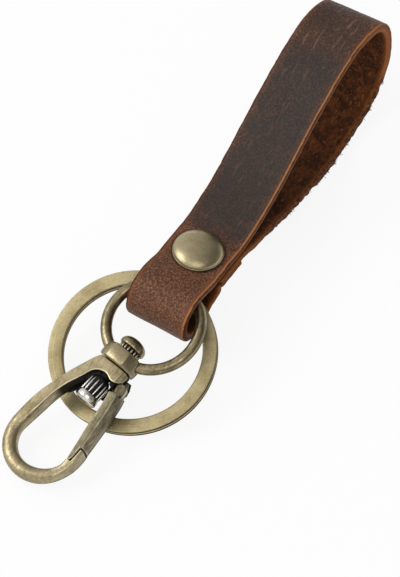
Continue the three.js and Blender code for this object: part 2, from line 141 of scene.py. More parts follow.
def leatherFace():
    paint = Paint("leather_face")
    edge, along, beside = (paint.attribute(name) for name in ("edgeDistance", "alongStrap", "capShade"))
    cloud = paint.noise(70, 3, 0.55)
    blotch = paint.noise(330, 4, 0.6, 0.4)
    grain = paint.noise(1900, 3, 0.6)
    speck = paint.noise(1.0, 2, 0.6, 0.2, paint.stretched((3000.0, 2300.0, 3000.0), (0.3, 0.2, 0.5)))
    scratch = paint.noise(1.0, 3, 0.6, 0.25, paint.stretched((1300.0, 90.0, 700.0), (0.0, 0.0, 0.1)))
    low = 1 - paint.band(along, 13.0, 28.0)
    bend = paint.band(along, 58.0, 78.0)
    nearEdge = 1 - paint.band(edge, 0.0, 2.4)
    red = paint.band(low + bend * 0.25 + (cloud + blotch) * 0.42 + 0.24 + nearEdge * 0.2, 0.62, 1.35)
    # the last coat, from capShade, is painted shade in a ring round the rivet cap
    colour = paint.coats(
        (51, 43, 39), (red, (94, 58, 38)),
        (paint.band(blotch, 0.5, 0.7) * 0.3, (76, 54, 46)),
        (paint.band(grain, 0.48, 0.62) * (0.26 + red * 0.36), (40, 25, 18)),
        (paint.band(speck, 0.5, 0.62) * (0.08 + red * 0.5), (150, 107, 78)),
        (paint.band(scratch, 0.58, 0.7) * (0.2 + bend * 0.6), (124, 92, 76)),
        ((1 - paint.band(edge, 0.15, 1.7)) * (0.1 + low * 0.45), (128, 72, 38)),
        (beside * 0.85, (18, 12, 9)))
    height = grain * 0.7 + speck * 0.6 + blotch * 0.4 - scratch * 0.3
    rough = paint.band(grain + blotch * 0.6, 0.5, 1.1, (0.46, 0.64))
    return paint.finish(colour, rough, (height, 0.6, 0.0002), {"Specular IOR Level": 0.22})


def leatherEdge():
    # burnished corner, dark core, a paler fibrous lower half and nap where the edge is raw
    paint = Paint("leather_edge")
    along, depth, raw = (paint.attribute(name) for name in ("alongStrap", "edgeDepth", "ragged"))
    layers = paint.noise(1.0, 4, 0.65, 0.3, paint.stretched((900.0, 260.0, 2600.0)))
    grit = paint.noise(2600, 4, 0.7)
    crumb = paint.noise(1100, 4, 0.7, 0.6)
    sway = depth + (layers - 0.5) * 0.35
    nap = paint.coats((44, 25, 13), (paint.band(crumb, 0.4, 0.62), (128, 74, 32)))
    colour = paint.coats(
        (64, 34, 16), (paint.band(sway, 0.42, 0.7), (132, 76, 36)),
        (1 - paint.band(sway, 0.04, 0.14), (172, 112, 66)),
        (paint.band(along, 62.0, 81.0) * 0.5, (158, 94, 44)),
        (paint.band(grit, 0.52, 0.7) * 0.5, (180, 118, 64)),
        (raw * 0.9, nap),
        (paint.band(layers, 0.55, 0.75) * 0.3, (48, 25, 13)))
    height = layers * 0.6 + grit * 0.6 + raw * crumb * 1.5
    return paint.finish(colour, 0.74, (height, 0.9, 0.0003), {"Specular IOR Level": 0.2})


def leatherFlesh():
    paint = Paint("leather_flesh")
    edge = paint.attribute("edgeDistance")
    nap = paint.noise(1.0, 5, 0.7, 0.5, paint.stretched((1700.0, 600.0, 1700.0)))
    tuft = paint.noise(420, 4, 0.6, 0.8)
    colour = paint.coats(
        (46, 25, 13), (paint.band(tuft, 0.35, 0.7), (82, 45, 21)),
        (paint.band(nap, 0.5, 0.72) * 0.55, (142, 82, 38)),
        ((1 - paint.band(edge, 0.1, 1.5)) * 0.5, (150, 88, 40)))
    return paint.finish(colour, 0.92, (nap + tuft * 0.5, 0.8, 0.0003), {"Specular IOR Level": 0.12})


def agedBronze(name, brush, light, dark, shine, streak=1.0, mottle=1.0):
    # satin faces with fine brush lines, burnished edges, and painted shade, near black, in the hollows and creases
    paint = Paint(name)
    wearAndCreaseShade, paintedShade = paint.attribute("wearAndCreaseShade"), paint.attribute("paintedShade")
    brushed = paint.noise(1.0, 4, 0.65, 0.1, brush(paint))
    cloud = paint.noise(170, 3, 0.55, 0.4)
    tarnish = paint.noise(900, 4, 0.65, 0.6)
    pit = paint.noise(3600, 3, 0.6)
    worn = paint.band(wearAndCreaseShade, 0.07, 0.34)
    shadeAmount = paint.band(wearAndCreaseShade, -0.05, -0.3).highest(paint.band(paintedShade + (tarnish - 0.5) * 0.2, 0.3, 0.72))
    colour = paint.coats(
        light, (paint.band(cloud + (tarnish - 0.5) * 0.4, 0.35, 0.7) * mottle, dark),
        (paint.band(brushed, 0.52, 0.72) * (0.5 * streak), [v * 0.62 for v in dark]),
        (paint.band(brushed, 0.48, 0.3) * (0.4 * streak), (214, 202, 166)),
        (paint.band(pit, 0.5, 0.66) * 0.3, [v * 0.5 for v in dark]),
        (worn * 0.7, (224, 214, 184)),
        (shadeAmount * 0.94, (17, 16, 14)))
    rough = paint.band(brushed, 0.3, 0.7, (shine - 0.04, shine + 0.08)) - worn * 0.08 + shadeAmount * 0.25
    return paint.finish(colour, rough, (brushed * 0.7 + pit * 0.3, 0.2 * streak, 0.00005), {"Metallic": 1.0})


def alongBand(paint):
    return paint.stretched((6.0, 3000.0, 3000.0), spot=paint.node("ShaderNodeUVMap"))


def alongHook(paint):
    return paint.stretched((2600.0, 130.0, 2600.0), (0.0, 0.0, 0.19))


def acrossCap(paint):
    return paint.stretched((700.0, 700.0, 2600.0))


def brightSteel():
    paint = Paint("bright_steel")
    smear = paint.noise(900, 4, 0.6)
    # painted shade, near black, in creases and where the piece carries the painted shade layer
    shadeAmount = paint.band(paint.attribute("wearAndCreaseShade"), -0.02, -0.25).highest(paint.band(paint.attribute("paintedShade"), 0.72, 0.95))
    colour = paint.coats(
        (196, 194, 186), (paint.band(smear, 0.35, 0.7), (238, 236, 230)), (shadeAmount, (16, 15, 13)))
    rough = paint.band(smear, 0.3, 0.7, (0.16, 0.28))
    return paint.finish(colour, rough, (smear, 0.08, 0.00005), {"Metallic": 1.0})


# near black standing in for shade: the post's shank inside the arch, the knob's neck and the hook's dark plates
def paintedShadowCore():
    paint = Paint("painted_shadow_core")
    colour = paint.coats((12, 12, 12), (paint.band(paint.noise(800, 4, 0.6), 0.4, 0.7), (30, 28, 24)))
    return paint.finish(colour, 0.6, None, {"Metallic": 0.6})


faceLeather, edgeLeather, fleshLeather = leatherFace(), leatherEdge(), leatherFlesh()
bandBronze = agedBronze("band_bronze", alongBand, (180, 166, 128), (150, 134, 96), 0.5, 0.9, 0.8)
hookBronze = agedBronze("hook_bronze", alongHook, (172, 158, 125), (138, 124, 92), 0.4)
gateBronze = agedBronze("gate_bronze", alongHook, (128, 119, 95), (96, 88, 70), 0.42)
capBronze = agedBronze("cap_bronze", acrossCap, (172, 159, 126), (148, 135, 103), 0.33, 0.35, 0.6)
eyeBronze = agedBronze("eye_bronze", alongHook, (158, 144, 113), (118, 106, 79), 0.31, 0.8)
# bronze darkened for painted shade, on the gate's tongue and the hook's back cheek
paintedShadeBronze = agedBronze("painted_shade_bronze", alongHook, (112, 102, 80), (74, 66, 50), 0.46, 0.8)
steelBright, coreDark = brightSteel(), paintedShadowCore()
print("materials ready:", len(bpy.data.materials))


def addObject(name, data):
    made = bpy.data.objects.new(name, data)
    bpy.context.scene.collection.objects.link(made)
    return made


def addPiece(name, points, faces, materials, place=None):
    # points in millimetres become a mesh at the origin
    mesh = bpy.data.meshes.new(name)
    moved = [(place @ Vector(p)) * mm if place else Vector(p) * mm for p in points]
    mesh.from_pydata(moved, [], faces)
    for material in materials:
        mesh.materials.append(material)
    return addObject(name, mesh)


def dropPiece(piece):
    mesh = piece.data
    bpy.data.objects.remove(piece)
    bpy.data.meshes.remove(mesh)


def tell(piece):
    print(piece.name, "made:", len(piece.data.polygons), "faces")


def closeUp(piece, sharp=40.0, merge=1e-7):
    # merged corners, outward faces, smooth shading broken at sharp edges
    shape = bmesh.new()
    shape.from_mesh(piece.data)
    bmesh.ops.remove_doubles(shape, verts=shape.verts, dist=merge)
    bmesh.ops.recalc_face_normals(shape, faces=shape.faces)
    shape.to_mesh(piece.data)
    shape.free()
    piece.data.polygons.foreach_set("use_smooth", [True] * len(piece.data.polygons))
    piece.data.set_sharp_from_angle(angle=radians(sharp))
    return piece


def settle(piece):
    # modifiers turned into plain mesh
    bpy.context.view_layer.update()
    graph = bpy.context.evaluated_depsgraph_get()
    fresh = bpy.data.meshes.new_from_object(piece.evaluated_get(graph), depsgraph=graph)
    piece.modifiers.clear()
    old, piece.data = piece.data, fresh
    fresh.name = piece.name
    bpy.data.meshes.remove(old)
    return piece


def setSlots(piece, slots):
    piece.data.polygons.foreach_set("material_index", slots)


def setLayer(piece, name, values):
    piece.data.attributes.new(name, "FLOAT", "POINT").data.foreach_set("value", values)


def atLeast(piece, name, values):
    # the values, raised to a layer that the piece may have
    layer = piece.data.attributes.get(name)
    return [max(a, b.value) for a, b in zip(values, layer.data)] if layer else values


def markWearAndCreaseShade(piece, reach=1):
    # how far each corner stands proud of, or lies under, its neighbours: proud corners come out worn and light, the
    # ones lying under take painted shade
    shape = bmesh.new()
    shape.from_mesh(piece.data)
    shape.normal_update()
    value = []
    for corner in shape.verts:
        total = 0.0
        for edge in corner.link_edges:
            step = edge.other_vert(corner).co - corner.co
            if step.length > 1e-9:
                total -= step.normalized().dot(corner.normal)
        value.append(total / max(len(corner.link_edges), 1))
    for _ in range(reach):
        value = [(value[c.index] * 2 + sum(value[e.other_vert(c).index] for e in c.link_edges))
                 / (2 + len(c.link_edges)) for c in shape.verts]
    shape.free()
    setLayer(piece, "wearAndCreaseShade", atLeast(piece, "rubbed", value))
    return piece


paintedShadeSizes = {"rays": 40, "liftOff": 0.03, "flatWeight": 0.25, "fade": 0.5, "underTop": 0.5, "underDepth": 1.4}


def markPaintedShade(pieces, reach, others=(), under=0.0):
    # painted shade: the share of the sky above each corner that its own body hides within reach, and painted shade on
    # a clasp's underside
    g, rays = paintedShadeSizes, paintedShadeSizes["rays"]
    spots, faces = [], []
    for piece in (*pieces, *others):
        start = len(spots)
        spots += [v.co.copy() for v in piece.data.vertices]
        faces += [[start + i for i in face.vertices] for face in piece.data.polygons]
    tree = BVHTree.FromPolygons(spots, faces)
    golden = pi * (3 - sqrt(5))
    toClasp = claspPlace.inverted()
    aims = []
    for k in range(rays):
        height = 1 - (k + 0.5) / rays
        flat = sqrt(1 - height * height)
        aims.append(Vector((flat * cos(golden * k), flat * sin(golden * k), height)))
    for piece in pieces:
        value = []
        for corner in piece.data.vertices:
            turn = corner.normal.to_track_quat("Z", "Y")
            start = corner.co + corner.normal * (g["liftOff"] * mm)
            hidden = total = 0.0
            for aim in aims:
                weight = g["flatWeight"] + aim.z
                total += weight
                hit = tree.ray_cast(start, turn @ aim, reach * mm)
                if hit[0] is not None:
                    hidden += weight * (1 - g["fade"] * hit[3] / (reach * mm))
            value.append(hidden / total)
        value = atLeast(piece, "cavity", value)
        if under:
            depths = [g["underTop"] - (toClasp @ (v.co / mm)).z for v in piece.data.vertices]
            value = [max(a, under * between(depth, 0.0, g["underDepth"])) for a, depth in zip(value, depths)]
        setLayer(piece, "paintedShade", value)


def arcPoints(cx, cy, radius, start, stop, steps):
    turns = [start + (stop - start) * k / steps for k in range(steps + 1)]
    return [(cx + radius * cos(a), cy + radius * sin(a)) for a in turns]


def circle(cx, cy, radius, steps):
    return arcPoints(cx, cy, radius, 0, 2 * pi, steps)[:-1]


def lathe(profile, steps):
    # solid of revolution about local Y, the profile starting and ending on the axis
    points, faces, rows = [], [], []
    for radius, height in profile:
        if radius < 1e-6:
            rows.append([len(points)] * steps)
            points.append((0.0, height, 0.0))
        else:
            rows.append(list(range(len(points), len(points) + steps)))
            points += [(x, height, z) for x, z in circle(0, 0, radius, steps)]
    for lower, upper in zip(rows, rows[1:]):
        for i in range(steps):
            k = (i + 1) % steps
            ring = list(dict.fromkeys((lower[i], lower[k], upper[k], upper[i])))
            if len(ring) > 2:
                faces.append(ring)
    return points, faces


def loft(rings, capped=True):
    # skin over rings of equal count, ends closed by one face each
    count = len(rings[0])
    points = [p for ring in rings for p in ring]
    faces = []
    for r in range(len(rings) - 1):
        low, high = r * count, (r + 1) * count
        for i in range(count):
            k = (i + 1) % count
            faces.append((low + i, low + k, high + k, high + i))
    if capped:
        faces += [tuple(range(count)), tuple(range(high, high + count))]
    return points, faces


def through(points, per):
    # smooth line through points of any size
    first = [2 * a - b for a, b in zip(points[0], points[1])]
    last = [2 * a - b for a, b in zip(points[-1], points[-2])]
    full = [first, *points, last]
    out = []
    for i in range(1, len(full) - 2):
        p0, p1, p2, p3 = (Vector(full[i + k]) for k in (-1, 0, 1, 2))
        t1 = (p1 - p0).length ** 0.5
        t2 = t1 + (p2 - p1).length ** 0.5
        t3 = t2 + (p3 - p2).length ** 0.5
        for k in range(per):
            t = t1 + (t2 - t1) * k / per

            def blend(a, b, low, high):
                return a * ((high - t) / (high - low)) + b * ((t - low) / (high - low))
            a2 = blend(p1, p2, t1, t2)
            b1, b2 = blend(blend(p0, p1, 0, t1), a2, 0, t2), blend(a2, blend(p2, p3, t2, t3), t1, t3)
            out.append(blend(b1, b2, t1, t2))
    out.append(Vector(points[-1]))
    return out


def between(value, low, high):
    t = min(max((value - low) / (high - low), 0.0), 1.0)
    return t * t * (3 - 2 * t)


def within(value, low, full, fall, high):
    # rises over the first two values and falls over the last two
    return between(value, low, full) * (1 - between(value, fall, high))


def shown(sockets, name):
    # the socket of that name that the node's settings leave in use
    return next(socket for socket in sockets if socket.enabled and socket.name == name)


def plantTree(name, inputs, nodes, links):
    # a geometry tree from tables, ending in real instances with one material
    tree = bpy.data.node_groups.new(name, "GeometryNodeTree")
    tree.interface.new_socket("Geometry", in_out="OUTPUT", socket_type="NodeSocketGeometry")
    for label, kind in (*inputs, ("Finish", "Material")):
        tree.interface.new_socket(label, in_out="INPUT", socket_type="NodeSocket" + kind)
    ends = {
        "in": ("NodeGroupInput", {}, {}), "out": ("NodeGroupOutput", {}, {}),
        "spots": ("GeometryNodeInstanceOnPoints",), "real": ("GeometryNodeRealizeInstances",),
        "finish": ("GeometryNodeSetMaterial",)}
    made = {}
    for key, entry in {**ends, **nodes}.items():
        kind, settings, sockets = (*entry, {}, {})[:3]
        made[key] = setAll(tree.nodes.new(kind), settings)
        for label, value in sockets.items():
            shown(made[key].inputs, label).default_value = value
    ending = (("spots.Instances", "real.Geometry"), ("real.Geometry", "finish.Geometry"),
              ("in.Finish", "finish.Material"), ("finish.Geometry", "out.Geometry"))
    for start, stop in (*links, *ending):
        (giver, given), (taker, taken) = start.split("."), stop.split(".")
        tree.links.new(shown(made[giver].outputs, given), shown(made[taker].inputs, taken))
    return tree


def runTree(piece, tree, values):
    # the tree's named inputs set, and its result kept as plain mesh
    tool = piece.modifiers.new(tree.name, "NODES")
    tool.node_group = tree
    for item in tree.interface.items_tree:
        if item.in_out == "INPUT" and item.name in values:
            tool[item.identifier] = values[item.name]
    return settle(piece)


# leather strap
strapSizes = {
    "width": 14.0, "thick": 2.0, "pared": 1.19, "layerGap": 0.03, "rivetY": 17.8, "rivetZ": 13.9,
    "slope": radians(8), "across": 30, "rounds": 4, "step": 0.45, "corner": 0.42,
    "waver": 0.11, "grain": 0.035, "edgeWave": 0.16, "edgeInset": 0.1, "leftLift": 0.2, "rightDrop": 0.3,
    "capReach": (5.8, 9.2), "capRise": 0.19, "capShift": -0.65, "capZone": (8, 27), "capFoot": (5.35, 6.15),
    "midLevel": 12, "loopZone": (1.0, 5.0, 8.5, 13.0), "tailZone": (8.8, 11.6, 12.6, 15.2),
    "rawZone": (26.0, 36.0, 77.0, 81.0), "fray": 0.34, "fraySway": 0.22, "frayInset": 0.1,
    "turnAlong": (58.0, 70.0), "turnLevel": (7.0, 22.0),
    "topSkew": 0.45, "topZone": (68.0, 81.0), "tailCup": 1.25, "frontLeans": ((-0.95, 26.0, 56.0), (0.5, 70.0, 81.0)),
    "backLeans": ((0.62, 10.5, 14.5), (-0.217, 18.5, 22.0), (0.2, 18.0, 22.0), (-0.2, 26.0, 31.0), (0.78, 22.0, 46.0),
                  (-0.7, 54.0, 70.0)),
}


def ripple(x, y, z):
    return noise.noise(Vector((x, y, z)))


def besideRivet(s, n):
    # a point that far along and above the strap from the rivet's middle
    sizes = strapSizes
    c, k = cos(sizes["slope"]), sin(sizes["slope"])
    return (sizes["rivetY"] + s * c + n * k, sizes["rivetZ"] - s * k + n * c)


def strapLine():
    # middle of the strip as [along, height, thickness], from the tail's end round both loops
    full, pared, gap = (strapSizes[key] for key in ("thick", "pared", "layerGap"))
    inner = -(full / 2 + gap + pared / 2)
    outer = inner - pared - gap
    points = [
        *((*besideRivet(*p), pared) for p in (
            (4.8, outer), (2.4, outer), (0, outer), (-2.4, outer), (-3.2, outer - 0.08))),
        (13.9, 9.9, 1.25), (12.95, 8.5, 1.25), (11.6, 7.05, 1.3), (8.5, 5.8, 1.58), (5.85, 5.6, 1.6), (3.5, 6.6, 1.95),
        *((*p, full) for p in (
            (1.8, 8.8), (1.3, 11.3), (1.75, 13.9), (3.1, 15.7), (5.2, 16.5), (7.6, 16.3), (10, 15.5),
            besideRivet(-5.6, 0), besideRivet(-2.8, 0), besideRivet(0, 0), besideRivet(2.8, 0), besideRivet(5.6, 0.02),
            (28.5, 13.7), (37, 15.2), (46.5, 18.5), (55.5, 22.2), (64.4, 25.6), (72.1, 26.8), (78.7, 24.8),
            (82.1, 19.7), (82.2, 13.3), (80.1, 8.1), (77.1, 4.3), (73.2, 1.8), (68.4, 1), (62.6, 1.05), (55.6, 2.25),
            (46.4, 4.5), (38, 6.9))),
        (30, 8.95, 1.6), *((*besideRivet(s, inner), pared) for s in (6, 2.4, 0, -3)),
    ]
    dense = through(points, 12)
    line, gone = [dense[0]], 0.0
    for a, b in zip(dense, dense[1:]):
        gone += (b - a).xy.length
        if gone >= strapSizes["step"]:
            line.append(b)
            gone = 0.0
    if (line[-1] - dense[-1]).length > 1e-6:
        line[-1] = dense[-1]
    return line


def leanAt(p, front):
    # sideways lean, gained from one height to another: the front's, the back's, and a blend round the loop's end
    s = strapSizes
    ahead, behind = (sum(lean * between(p.x, low, high) for lean, low, high in s[key])
                     for key in ("frontLeans", "backLeans"))
    share = front + (between(p.y, *s["turnLevel"]) - front) * between(p.x, *s["turnAlong"])
    return behind + (ahead - behind) * share


def strapSection(thick):
    # [x, height, 1 on the edge]: the upper face and the right edge, then the same turned half round
    half, rounds, across = strapSizes["width"] / 2, strapSizes["rounds"], strapSizes["across"]
    r = min(strapSizes["corner"], thick * 0.42)
    section = [(-half + r + (2 * half - 2 * r) * k / across, thick / 2, 0) for k in range(across + 1)]
    upper = arcPoints(half - r, thick / 2 - r, r, pi / 2, 0, rounds)[1:]
    wall = [(half, (thick / 2 - r) * share) for share in (0.5, 0, -0.5)]
    lower = arcPoints(half - r, r - thick / 2, r, 0, -pi / 2, rounds)[1:]
    section += [(*p, 1) for p in upper + wall + lower]
    return section + [(-x, -n, kind) for x, n, kind in section]


def makeStrap():
    s = strapSizes
    line = strapLine()
    half = s["width"] / 2
    fold = min(range(len(line)), key=lambda i: line[i].x)
    peak = max(range(len(line)), key=lambda i: line[i].x)
    layers = {name: [] for name in ("edgeDistance", "alongStrap", "edgeDepth", "capShade", "ragged")}
    rings = []
    for i, p in enumerate(line):
        along, level, thick = p
        lean = leanAt(p, 1.0 if fold <= i <= peak else 0.0)
        flow = (line[min(i + 1, len(line) - 1)].xy - line[max(i - 1, 0)].xy).normalized()
        out = Vector((0.0, -flow.y, flow.x))
        high = level > s["midLevel"]
        loopZone = within(along, *s["loopZone"]) if high else 0.0
        tailZone = within(along, *s["tailZone"]) if i < fold else 0.0
        rawZone = within(along, *s["rawZone"]) if level < s["midLevel"] else 0.0
        ring = []
        for x, n, kind in strapSection(thick):
            place = Vector((x + lean, along, level))
            outer = n > 0
            side = between(abs(x), 4.0, half)
            wob = ripple(x * 0.16, along * 0.11, level * 0.11 + 9) * s["waver"]
            fine = ripple(x * 0.9 + 5, along * 0.7, level * 0.7) * s["grain"]
            wave = ripple(along * 0.35, level * 0.35, 31 if x > 0 else 63) * s["edgeWave"]
            lift = loopZone * (s["leftLift"] * between(-x, -2.0, half) - s["rightDrop"] * between(x, 0.0, half))
            shade = 0.0
            if outer and high and s["capZone"][0] < along < s["capZone"][1]:
                # the leather rises round the cap and takes painted shade in a ring beside it
                away = hypot(x, (along - s["rivetY"]) / cos(s["slope"]) - s["capShift"])
                lift += s["capRise"] * (1 - between(away, *s["capReach"]))
                shade = 1 - between(away, *s["capFoot"])
            place.y += s["topSkew"] * x / half * between(along, *s["topZone"])
            # the tail's right edge curls up to the front layer
            place.z += s["tailCup"] * between(x, 1.0, half) * tailZone
            place += out * (n + wob * (1.0 if outer else 0.6) + fine + lift)
            place.x += copysign(wave * side, x) - copysign(s["edgeInset"] * side, x)
            raw = rawZone if x > 0 else 0.0
            if raw and kind:
                place.x += raw * (ripple(along * 1.1, level, n * 1.3) * s["fray"]
                                  + ripple(along * 0.42, level, n + 20) * s["fraySway"] - s["frayInset"])
            ring.append(place + strapShift)
            depth = 0.5 - n / thick
            values = (max(half - abs(x), 0.0), along, depth if x > 0 else max(depth, 0.34), shade, raw)
            for layer, value in zip(layers.values(), values):
                layer.append(value)
        rings.append(ring)
    points, faces = loft(rings)
    piece = addPiece("leather_strap_body", points, faces, [faceLeather, edgeLeather, fleshLeather])
    kinds = [1 if kind else 0 if n > 0 else 2 for x, n, kind in strapSection(line[0].z)]
    count = len(kinds)
    slots = []
    for face in faces:
        pair = (kinds[face[0] % count], kinds[face[1] % count])
        slots.append(1 if len(face) != 4 or 1 in pair else pair[0])
    setSlots(piece, slots)
    for name, values in layers.items():
        setLayer(piece, name, values)
    return closeUp(piece, 60.0)


strapPiece = makeStrap()
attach(strapPiece, "strap")
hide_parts("leather_strap")
tell(strapPiece)


# loose fibres along the raw right edge of the back layer, scattered by geometry nodes
fibreSizes = {"from": 40.0, "to": 79.0, "perStation": 9, "sparse": 0.05, "inset": 0.3, "length": 0.7, "thick": 0.055,
              "seed": 11}
fibreTree = plantTree("edge_fibres", (
    ("Geometry", "Geometry"), ("Length", "Float"), ("Thickness", "Float"), ("Seed", "Int")), {
    "hair": ("GeometryNodeCurveQuadraticBezier", {}, {
        "Resolution": 5, "Start": (0, 0, -0.25), "Middle": (0.12, 0, 0.5), "End": (0.5, 0.1, 1.0)}),
    "stretch": ("ShaderNodeVectorMath", {"operation": "SCALE"}, {"Vector": (1, 1, 1)}),
    "shape": ("GeometryNodeTransform",),
    "circle": ("GeometryNodeCurvePrimitiveCircle", {}, {"Resolution": 4}),
    "skin": ("GeometryNodeCurveToMesh", {}, {"Fill Caps": True}),
    "way": ("FunctionNodeRandomValue", {"data_type": "FLOAT_VECTOR"}, {
        "Min": (0.25, -0.9, -0.6), "Max": (1.0, 0.9, 0.5)}),
    "size": ("FunctionNodeRandomValue", {"data_type": "FLOAT"}, {"Min": 0.25, "Max": 1.0}),
    "aim": ("FunctionNodeAlignRotationToVector", {"axis": "Z"}, {}),
}, (
    ("hair.Curve", "shape.Geometry"), ("in.Length", "stretch.Scale"), ("stretch.Vector", "shape.Scale"),
    ("in.Thickness", "circle.Radius"), ("shape.Geometry", "skin.Curve"), ("circle.Curve", "skin.Profile Curve"),
    ("in.Seed", "way.Seed"), ("in.Seed", "size.Seed"), ("way.Value", "aim.Vector"), ("in.Geometry", "spots.Points"),
    ("skin.Mesh", "spots.Instance"), ("aim.Rotation", "spots.Rotation"), ("size.Value", "spots.Scale")))


def makeFibres():
    f, s = fibreSizes, strapSizes
    chance = random.Random(f["seed"])
    roots = []
    for p in strapLine():
        if f["from"] < p.x < f["to"] and p.y < 10:
            tuft = ripple(p.x * 0.7, p.y * 0.7, 5.0)
            for _ in range(int(f["perStation"] * max(tuft - f["sparse"], 0.0) * 3)):
                rise = p.y + (chance.random() - 0.5) * s["thick"] * 0.8
                side = s["width"] / 2 - f["inset"] + leanAt(p, 0.0)
                roots.append(Vector((side, p.x + chance.random() * 0.5, rise)) + strapShift)
    piece = addPiece("leather_strap_fibres", roots, [], [fleshLeather])
    runTree(piece, fibreTree, {
        "Length": f["length"] * mm, "Thickness": f["thick"] * mm, "Seed": f["seed"], "Finish": fleshLeather})
    return closeUp(piece, 60.0)


fibrePiece = makeFibres()
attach(fibrePiece, "strap")
tell(fibrePiece)


# rivet caps
capSizes = {"front": (5.4, 2.4, 1.2), "back": (3.3, 1.6, 3.64), "steps": 96, "sag": 0.02, "lip": 0.21,
            "lipLift": 0.22, "lipTurn": 0.86, "lipSteps": 8, "domeSteps": 24, "domeWide": 0.92, "domeHigh": 1.12}


def rivetPlace(flipped):
    slope = strapSizes["slope"]
    up = Vector((0, sin(slope), cos(slope)))
    if flipped:
        up.negate()
    side = Vector((1, 0, 0))
    place = Matrix((side, up, side.cross(up))).transposed().to_4x4()
    place.translation = Vector((0, *besideRivet(0.0 if flipped else strapSizes["capShift"], 0.0))) + strapShift
    return place


def makeCap(name, flipped):
    # flat foot, rolled lip, then the dome
    c = capSizes
    radius, height, seat = c["back" if flipped else "front"]
    lip, low, steps = c["lip"], seat + c["sag"], c["domeSteps"]
    rows = [(0.0, low), (radius * 0.55, low), (radius - 2 * lip, seat), (radius - 0.2, seat + 0.01)]
    rows += arcPoints(radius - lip, seat + c["lipLift"], lip, -pi / 2, pi * (c["lipTurn"] - 0.5), c["lipSteps"])
    edge, foot = rows[-1]
    for k in range(1, steps + 1):
        t = pi / 2 * k / steps
        wide = edge * cos(t) ** c["domeWide"] if k < steps else 0.0
        rows.append((wide, foot + (seat + height - foot) * sin(t) ** c["domeHigh"]))
    piece = addPiece(name, *lathe(rows, c["steps"]), [capBronze], rivetPlace(flipped))
    return markWearAndCreaseShade(closeUp(piece, 50.0))


capPiece = makeCap("rivet_cap_dome", False)
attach(capPiece, "strap")
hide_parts("rivet_cap")
tell(capPiece)
backCapPiece = makeCap("rivet_back_dome", True)
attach(backCapPiece, "strap")
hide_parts("rivet_back_cap")
tell(backCapPiece)


# split ring
ringSizes = {"outer": 17.5, "width": 3.0, "coil": 1.0, "gap": 0.45, "tilt": radians(15.02),
             "centre": (0.0, -27.061, 5.814), "stepCentre": 255.0, "stepHalf": 19.0, "endGap": 5.0,
             "rows": 620, "bevelIn": 0.34, "bevelOut": 0.2, "endShrink": (0.86, 0.95, 0.985)}
# painted shade by corner of the band's section: the walls inside and outside
ringPaintedShade = {0: 0.75, 19: 0.75, 9: 0.8, 10: 0.8, 18: 0.6, 11: 0.6}


def bandSection():
    # flat band with a wide burnished inner bevel
    w, c = ringSizes["width"] / 2, ringSizes["coil"] / 2
    near, far = ringSizes["bevelIn"], ringSizes["bevelOut"]
    corners = ((w - far, c - far, far), (near - w, c - near, near), (near - w, near - c, near),
               (w - far, far - c, far))
    return [p for k, corner in enumerate(corners) for p in arcPoints(*corner, pi / 2 * k, pi / 2 * (k + 1), 4)]


def makeRing():
    s = ringSizes
    mid = s["outer"] - s["width"] / 2
    section = bandSection()
    low, high = s["stepCentre"] - s["stepHalf"], s["stepCentre"] + s["stepHalf"]
    start, stop = high - 360 + s["endGap"], low + 360
    rings, turns = [], []
    for i in range(s["rows"] + 1):
        degrees = start + (stop - start) * i / s["rows"]
        level = (s["coil"] + s["gap"]) * (between(degrees, low, high) - 0.5)
        a = radians(degrees)
        near = min(i, s["rows"] - i)
        shrink = s["endShrink"][near] if near < len(s["endShrink"]) else 1.0
        rings.append([Vector(((mid + r * shrink) * cos(a), (mid + r * shrink) * sin(a), level + h * shrink))
                      for r, h in section])
        turns.append(a)
    place = Matrix.Translation(Vector(s["centre"])) @ Matrix.Rotation(s["tilt"], 4, "X")
    piece = addPiece("key_ring_band", *loft(rings), [bandBronze], place)
    layer = piece.data.uv_layers.new(name="UVMap")
    count = len(section)
    for loop in piece.data.loops:
        row, k = divmod(loop.vertex_index, count)
        layer.data[loop.index].uv = (turns[row] * mid * mm, section[k][0] * mm)
    setLayer(piece, "cavity", [ringPaintedShade.get(k, 0.0) for _ in turns for k in range(count)])
    return markWearAndCreaseShade(closeUp(piece, 55.0), 0)


ringPiece = makeRing()
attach(ringPiece, "ring")
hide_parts("key_ring")
tell(ringPiece)


# swivel eye with its collar
eyeSizes = {"radius": 9.8, "wire": 1.2, "turns": 160, "sides": 28, "collarTop": 8.05, "collarFoot": 11.55,
            "width": 8.3, "depth": 7.4, "facet": 2.1, "round": 0.2}


def reshape(piece, kind, settings):
    setAll(piece.modifiers.new(kind.lower(), kind), settings)
    settle(piece)


def makeEye():
    s = eyeSizes
    section = circle(s["radius"], 0, s["wire"], s["sides"])
    rings = [[(far * x, far * y, z) for far, z in section] for x, y in circle(0, 0, 1, s["turns"])]
    points, faces = loft(rings + [rings[0]], False)
    wire = closeUp(addPiece("swivel_eye_ring", points, faces, [eyeBronze], claspPlace), 60.0, 1e-6)
    w, d, f = s["width"] / 2, s["depth"] / 2, s["facet"]
    outline = [(w, d - f), (w - f, d), (f - w, d), (-w, d - f), (-w, f - d), (f - w, -d), (w - f, -d), (w, f - d)]
    top, foot = s["collarTop"], s["collarFoot"]
    rows = [[(x * swell, y, z * swell) for x, z in outline] for y, swell in (
        (-foot, 0.955), (-foot + 0.7, 0.995), (-(foot + top) / 2, 1.0), (-top - 0.8, 0.985), (-top, 0.93))]
    collar = closeUp(addPiece("collar", *loft(rows), [eyeBronze], claspPlace))
    reshape(collar, "BEVEL", {"width": s["round"] * mm, "segments": 2, "limit_method": "ANGLE",
                              "angle_limit": radians(24.0), "use_clamp_overlap": True})
    reshape(wire, "BOOLEAN", {"operation": "UNION", "object": collar, "solver": "EXACT", "use_self": True,
                              "use_hole_tolerant": True})
    dropPiece(collar)
    return markWearAndCreaseShade(closeUp(wire, 38.0, 1e-6))


eyePiece = makeEye()
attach(eyePiece, "eye")
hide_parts("swivel_eye")
tell(eyePiece)


